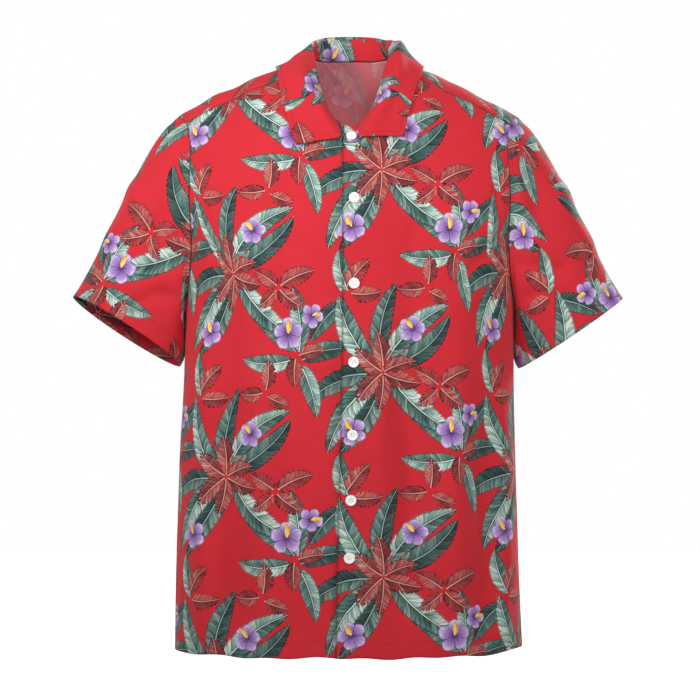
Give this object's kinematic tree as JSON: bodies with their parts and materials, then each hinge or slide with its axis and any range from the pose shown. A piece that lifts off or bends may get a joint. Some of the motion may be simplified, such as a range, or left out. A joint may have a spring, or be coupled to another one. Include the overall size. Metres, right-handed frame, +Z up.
{
  "type": "hawaiian shirt",
  "caption": "Short-sleeved button-front shirt with a turned-down collar on a stand, straight hem and an all-over tropical print, filled out as if worn.",
  "frame": {"origin": "middle of the neck, level with the shoulders at the sides of the collar, where the wearer's neck comes through", "axes": "+Z up along the body, -Y out of the buttoned front, +X towards the wearer's left sleeve"},
  "size_m": [0.6925, 0.2297, 0.7781],
  "materials": {
    "front_right": "plain-woven printed cotton",
    "front_left": "plain-woven printed cotton",
    "back": "plain-woven printed cotton",
    "sleeve_right": "plain-woven printed cotton",
    "sleeve_left": "plain-woven printed cotton",
    "collar_stand": "plain-woven printed cotton, interlined",
    "collar_leaf": "plain-woven printed cotton, interlined",
    "buttons": "polished white polyester"
  },
  "bodies": {
    "root": {"front_right": "front_right", "front_left": "front_left", "back": "back", "sleeve_right": "sleeve_right", "sleeve_left": "sleeve_left", "collar_stand": "collar_stand", "collar_leaf": "collar_leaf", "button_collar": "buttons", "button_front_1": "buttons", "button_front_2": "buttons", "button_front_3": "buttons", "button_front_4": "buttons", "button_front_5": "buttons", "button_front_6": "buttons"}
  },
  "joints": []
}
